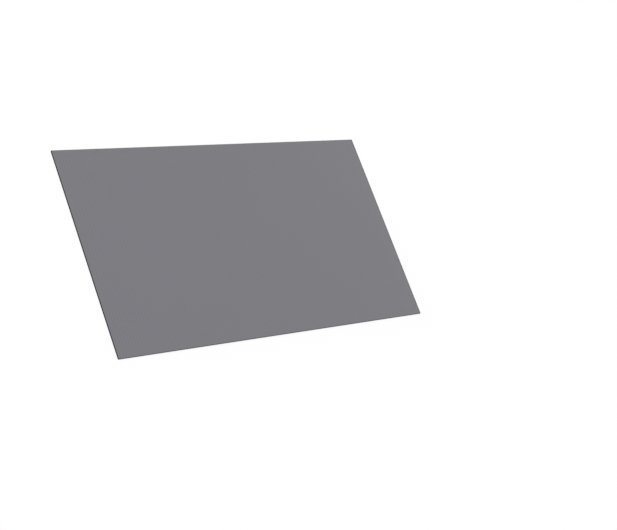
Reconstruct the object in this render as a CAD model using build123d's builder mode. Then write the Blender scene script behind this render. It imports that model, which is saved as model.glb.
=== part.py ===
from build123d import *
import os

# Laptop privacy filter: one plain rectangular sheet of tinted louvre film.
# It lies flat on its back, as it would on a desk. The origin is the middle of the back. +X runs along
# the width, +Y towards the top edge, +Z out of the front, which is the side that is looked through.

# Driving dimensions, in millimetres
sheet_width = 344.0  # the 15.6 inch size of 16:9
sheet_height = 194.0  # of the same size
sheet_thickness = 0.8  # the laminated film, from back to front
corner_radius = 0.6  # corners of the cutting die, close to square
die_roll_radius = 0.1  # edge that the blade rolls over as it enters the front

# The sheet: a die-cut outline whose edge is rounded over at the front, where the blade goes in, and left
# sharp at the back, where it comes out
with BuildPart() as filter_sheet:
    with BuildSketch(Plane.XY) as die_outline:
        RectangleRounded(sheet_width, sheet_height, corner_radius)
    extrude(amount=sheet_thickness)
    front = filter_sheet.faces().sort_by(Axis.Z)[-1]
    fillet(front.edges(), radius=die_roll_radius)

filter_sheet.part.label = "filter_sheet"

os.makedirs("parts", exist_ok=True)
export_step(filter_sheet.part, "parts/filter_sheet.step")
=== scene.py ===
import math

import bpy
import numpy as np
from mathutils import Matrix, Vector


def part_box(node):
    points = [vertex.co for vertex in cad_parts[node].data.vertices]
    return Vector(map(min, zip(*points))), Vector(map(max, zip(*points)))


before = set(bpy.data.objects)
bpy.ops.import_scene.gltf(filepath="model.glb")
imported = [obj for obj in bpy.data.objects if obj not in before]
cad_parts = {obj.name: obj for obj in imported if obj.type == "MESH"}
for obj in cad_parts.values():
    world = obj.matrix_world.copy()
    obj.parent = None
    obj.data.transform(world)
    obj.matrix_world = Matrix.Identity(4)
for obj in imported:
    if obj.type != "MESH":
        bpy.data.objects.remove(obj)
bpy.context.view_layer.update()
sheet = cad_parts["filter_sheet"]
sheetLow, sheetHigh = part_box("filter_sheet")
halfWidth, halfHeight = sheetHigh.x, sheetHigh.y  # the sheet's middle is the origin
mm = 0.001  # the frame is in metres
print("frame loaded: sheet of", [round(side / mm, 2) for side in sheetHigh - sheetLow], "mm")


# sRGB hex to linear: below 0.04045 a straight line, above it a power of 2.4
def hexToLinear(code):
    srgb = np.array([int(code[i:i + 2], 16) for i in (1, 3, 5)]) / 255
    linear = np.where(srgb <= 0.04045, srgb / 12.92, ((srgb + 0.055) / 1.055) ** 2.4)
    return (*linear.tolist(), 1.0)


# settings are the node's own properties, links give each input a value or another node's output
def addNode(tree, kind, settings=None, links=None):
    node = tree.nodes.new(kind)
    for name, value in (settings or {}).items():
        setattr(node, name, value)
    for key, value in (links or {}).items():
        if isinstance(value, bpy.types.NodeSocket):
            tree.links.new(value, node.inputs[key])
        else:
            node.inputs[key].default_value = value
    return node


def newMaterial(name):
    material = bpy.data.materials.new(name)
    material.use_nodes = True
    material.node_tree.nodes.clear()
    return material, material.node_tree


# goes smoothly from 0 on one rectangle round the sheet's middle to 1 on a larger one, each given by its
# half width and half height, so that a band can follow the sheet's edge
def towardsRim(tree, along, inner, outer):
    rises = []
    for axis, start, end in zip("XY", inner, outer):
        out = addNode(tree, "ShaderNodeMath", {"operation": "ABSOLUTE"}, {0: along[axis]}).outputs[0]
        rises.append(addNode(tree, "ShaderNodeMapRange", {"interpolation_type": "SMOOTHSTEP"}, {
            "Value": out, "From Min": start, "From Max": end,
        }).outputs[0])
    return addNode(tree, "ShaderNodeMath", {"operation": "MAXIMUM"}, {
        0: rises[0], 1: rises[1],
    }).outputs[0]


# The film is clear polyester with thin dark louvres standing in it like the slats of a blind, laminated
# and given a satin anti-glare coat. To the eye it is an even cool grey with a soft sheen, what lies
# behind it shows through, and a dark line runs round the cut, where the louvres end.
film = {
    "slatHex": "#333238",  # what the film sends back itself, at a louvre
    "gapHex": "#3A3940",  # and between two
    "tintHex": "#F6F5F9",  # what each face lets by between the louvres
    "bodyShare": 0.8,  # of the film, the rest is see-through
    "louvrePitch": 3.0 * mm,  # really about 0.1 mm, too fine to show, so drawn coarser
    "louvreDepth": 0.012,  # how much the share of the body goes up and down across a louvre
    "cloudSize": 80 * mm,  # slow drift of the coat over the sheet
    "cloudDepth": 0.01,  # and what it does to the share of the body
    "roughness": 0.34,
    "roughnessDrift": 0.08,
    "gritSize": 1.8 * mm,  # the coat's grit is really about 0.03 mm, drawn coarser to show
    "gritHeight": 0.04 * mm,
    "noiseDetail": 1.0,  # low, so that drift and grit stay soft
    "ior": 1.57,  # polyester
    "cutHex": "#0C0C0E",  # the ends of the louvres
    "cutRoughness": 0.8,  # torn by the blade
    "cutShine": 0.1,  # so it hardly shines
    # the cut alone is too thin to show in the render, so its dark line is drawn onto the faces too
    "sideBand": 1.0 * mm,  # how far in, where the cut runs along a louvre
    "endBand": 0.5 * mm,  # and where it runs across them, at the top and bottom
}


def louvreFilm():
    material, tree = newMaterial("polyester louvre film, die-cut and satin coated")
    place = addNode(tree, "ShaderNodeTexCoord").outputs["Object"]
    along = addNode(tree, "ShaderNodeSeparateXYZ", links={0: place}).outputs

    # the louvres stand up the sheet, so they repeat along X
    waveLength = 2 * math.pi / 20  # of the wave texture at scale 1
    louvre = addNode(tree, "ShaderNodeTexWave", {"bands_direction": "X"}, {
        "Vector": place, "Scale": waveLength / film["louvrePitch"],
    }).outputs["Fac"]
    tone = addNode(tree, "ShaderNodeMix", {"data_type": "RGBA"}, {  # its two colours are inputs 6 and 7
        "Factor": louvre, 6: hexToLinear(film["gapHex"]), 7: hexToLinear(film["slatHex"]),
    }).outputs["Result"]
    share = addNode(tree, "ShaderNodeMapRange", links={
        "Value": louvre,
        "To Min": film["bodyShare"] - film["louvreDepth"] / 2,
        "To Max": film["bodyShare"] + film["louvreDepth"] / 2,
    }).outputs[0]
    cloud = addNode(tree, "ShaderNodeTexNoise", links={
        "Vector": place, "Scale": 1 / film["cloudSize"], "Detail": film["noiseDetail"],
    }).outputs["Fac"]
    drift = addNode(tree, "ShaderNodeMapRange", links={
        "Value": cloud, "To Min": -film["cloudDepth"] / 2, "To Max": film["cloudDepth"] / 2,
    }).outputs[0]
    share = addNode(tree, "ShaderNodeMath", {"operation": "ADD"}, {0: share, 1: drift}).outputs[0]

    # they are drawn in the front alone and the back is clear, so what lies behind is seen past them once
    front = addNode(tree, "ShaderNodeMath", {"operation": "GREATER_THAN"}, {
        0: along["Z"], 1: (sheetLow.z + sheetHigh.z) / 2,
    }).outputs[0]
    share = addNode(tree, "ShaderNodeMath", {"operation": "MULTIPLY"}, {0: share, 1: front}).outputs[0]

    # the coat
    rough = addNode(tree, "ShaderNodeMapRange", links={
        "Value": cloud,
        "To Min": film["roughness"] - film["roughnessDrift"] / 2,
        "To Max": film["roughness"] + film["roughnessDrift"] / 2,
    }).outputs[0]
    grit = addNode(tree, "ShaderNodeTexNoise", links={
        "Vector": place, "Scale": 1 / film["gritSize"], "Detail": film["noiseDetail"],
    }).outputs["Fac"]
    bump = addNode(tree, "ShaderNodeBump", links={
        "Height": grit, "Distance": film["gritHeight"],
    }).outputs["Normal"]
    body = addNode(tree, "ShaderNodeBsdfPrincipled", links={
        "Base Color": tone, "Roughness": rough, "IOR": film["ior"], "Normal": bump,
    }).outputs[0]
    clear = addNode(tree, "ShaderNodeBsdfTransparent", links={
        "Color": hexToLinear(film["tintHex"]),
    }).outputs[0]
    face = addNode(tree, "ShaderNodeMixShader", links={0: share, 1: clear, 2: body}).outputs[0]

    # the cut; seen from within, past the louvres, it lets the light in and isn't dark
    edge = towardsRim(tree, along, (halfWidth - film["sideBand"], halfHeight - film["endBand"]),
                      (halfWidth, halfHeight))
    within = addNode(tree, "ShaderNodeNewGeometry").outputs["Backfacing"]
    outside = addNode(tree, "ShaderNodeMath", {"operation": "SUBTRACT"}, {0: 1.0, 1: within}).outputs[0]
    cut = addNode(tree, "ShaderNodeMath", {"operation": "MULTIPLY"}, {0: edge, 1: outside}).outputs[0]
    ends = addNode(tree, "ShaderNodeBsdfPrincipled", links={
        "Base Color": hexToLinear(film["cutHex"]), "Roughness": film["cutRoughness"], "IOR": film["ior"],
        "Specular IOR Level": film["cutShine"],
    }).outputs[0]
    whole = addNode(tree, "ShaderNodeMixShader", links={0: cut, 1: face, 2: ends}).outputs[0]
    addNode(tree, "ShaderNodeOutputMaterial", links={"Surface": whole})
    return material


sheet.material_slots[0].material = louvreFilm()
print("film material on", sheet.name)


# The studio is a floor of matt white paper in a white surround. To the eye both are plain white, and
# close to the sheet the paper takes its soft shadow.
studio = {
    "whiteHex": "#FFFFFF",  # the paper and the surround
    "floorHalf": 12.0,  # metres each way
    "floorPoints": 9,  # of the floor's grid, each way
    "floorGap": 0.1 * mm,  # under the sheet, so that the two faces don't fight
    "whiteShare": 0.7,  # of the floor at the sheet is plain white, the rest is lit and takes the shadow
    "litMargin": 25 * mm,  # from the sheet's edge to where the floor is wholly white
    "ambient": 0.48,  # light from all round, which comes to about 1 with the lamps' shares
}


# 1 where something is seen straight, mirrored or through the film, and 0 where it only gives light
def seenStraight(tree):
    path = addNode(tree, "ShaderNodeLightPath").outputs
    seen = path["Is Camera Ray"]
    for ray in ("Is Glossy Ray", "Is Transmission Ray"):
        seen = addNode(tree, "ShaderNodeMath", {"operation": "MAXIMUM"}, {
            0: seen, 1: path[ray],
        }).outputs[0]
    return seen


def whitePaper():
    material, tree = newMaterial("matt white paper")
    place = addNode(tree, "ShaderNodeTexCoord").outputs["Object"]
    along = addNode(tree, "ShaderNodeSeparateXYZ", links={0: place}).outputs
    margin = studio["litMargin"]
    away = towardsRim(tree, along, (halfWidth, halfHeight), (halfWidth + margin, halfHeight + margin))
    share = addNode(tree, "ShaderNodeMapRange", links={
        "Value": away, "To Min": studio["whiteShare"], "To Max": 1.0,
    }).outputs[0]
    share = addNode(tree, "ShaderNodeMath", {"operation": "MULTIPLY"}, {
        0: share, 1: seenStraight(tree),
    }).outputs[0]
    white = hexToLinear(studio["whiteHex"])
    lit = addNode(tree, "ShaderNodeBsdfDiffuse", links={"Color": white}).outputs[0]
    plain = addNode(tree, "ShaderNodeEmission", links={"Color": white, "Strength": 1.0}).outputs[0]
    both = addNode(tree, "ShaderNodeMixShader", links={0: share, 1: lit, 2: plain}).outputs[0]
    addNode(tree, "ShaderNodeOutputMaterial", links={"Surface": both})
    return material


# a level square: x and y each run from minus to plus floorHalf, z stays just under the sheet
def paperFloor():
    side = np.linspace(-studio["floorHalf"], studio["floorHalf"], studio["floorPoints"])
    x, y = np.meshgrid(side, side, indexing="ij")
    points = np.stack([x, y, np.full_like(x, sheetLow.z - studio["floorGap"])], axis=-1)
    number = np.arange(x.size).reshape(x.shape)
    faces = np.stack([number[:-1, :-1], number[1:, :-1], number[1:, 1:], number[:-1, 1:]], axis=-1)
    mesh = bpy.data.meshes.new("floor")
    mesh.from_pydata(points.reshape(-1, 3).tolist(), [], faces.reshape(-1, 4).tolist())
    mesh.materials.append(whitePaper())
    floor = bpy.data.objects.new("floor", mesh)
    bpy.context.scene.collection.objects.link(floor)


def whiteSurround():
    world = bpy.data.worlds.new("white surround")
    bpy.context.scene.world = world
    world.use_nodes = True
    tree = world.node_tree
    tree.nodes.clear()
    strength = addNode(tree, "ShaderNodeMapRange", links={
        "Value": seenStraight(tree), "To Min": studio["ambient"], "To Max": 1.0,
    }).outputs[0]
    back = addNode(tree, "ShaderNodeBackground", links={
        "Color": hexToLinear(studio["whiteHex"]), "Strength": strength,
    }).outputs[0]
    addNode(tree, "ShaderNodeOutputWorld", links={"Surface": back})


paperFloor()
whiteSurround()
print("studio made")


# Each lamp: where it stands (degrees, and metres from the sheet), its side in metres, and its share of
# the light on a level white surface
lamps = {
    "keyLamp": {"azimuth": -150, "elevation": 62, "distance": 4.0, "side": 2.5, "share": 0.56},
    "fillLamp": {"azimuth": 108, "elevation": 20, "distance": 2.4, "side": 1.2, "share": 0.015},
}


# azimuth 0 stands in front, at -Y, and 90 at +X
def awayFrom(azimuth, elevation, distance):
    a, e = math.radians(azimuth), math.radians(elevation)
    return Vector((math.sin(a) * math.cos(e), -math.cos(a) * math.cos(e), math.sin(e))) * distance


# turns a lamp or a camera, which look along their own -Z, back towards what they stand away from
def facing(away):
    return (-away).to_track_quat("-Z", "Y").to_matrix().to_4x4()


# a lamp's power is its share times pi squared times the distance squared, over the sine of the elevation
def softLamp(name, lamp):
    light = bpy.data.lights.new(name, "AREA")
    light.shape = "SQUARE"
    light.size = lamp["side"]
    slant = math.sin(math.radians(lamp["elevation"]))
    light.energy = lamp["share"] * (math.pi * lamp["distance"]) ** 2 / slant
    away = awayFrom(lamp["azimuth"], lamp["elevation"], lamp["distance"])
    softbox = bpy.data.objects.new(name, light)
    softbox.matrix_world = Matrix.Translation(away) @ facing(away)
    bpy.context.scene.collection.objects.link(softbox)


for name, lamp in lamps.items():
    softLamp(name, lamp)
print("lamps made:", list(lamps))


# The camera looks down on the sheet, rolled so that the width runs to the right of the picture.
view = {
    "aim": (58.0 * mm, -33.4 * mm, 0.0),  # past the sheet's middle, which is up and left in the picture
    "azimuth": -66.02,  # degrees, as are the elevation and the roll
    "elevation": 45.78,
    "distance": 1264.7 * mm,
    "roll": 51.76,
    "lens": 79.04,  # millimetres, as is the next
    "sensor": 36.0,
}


def studioCamera():
    lens = bpy.data.cameras.new("camera")
    lens.lens = view["lens"]
    lens.sensor_width = view["sensor"]
    away = awayFrom(view["azimuth"], view["elevation"], view["distance"])
    roll = Matrix.Rotation(math.radians(view["roll"]), 4, "Z")
    camera = bpy.data.objects.new("camera", lens)
    camera.matrix_world = Matrix.Translation(Vector(view["aim"]) + away) @ facing(away) @ roll
    bpy.context.scene.collection.objects.link(camera)
    bpy.context.scene.camera = camera


studioCamera()
bpy.context.scene.view_settings.view_transform = "Standard"
print("camera set")
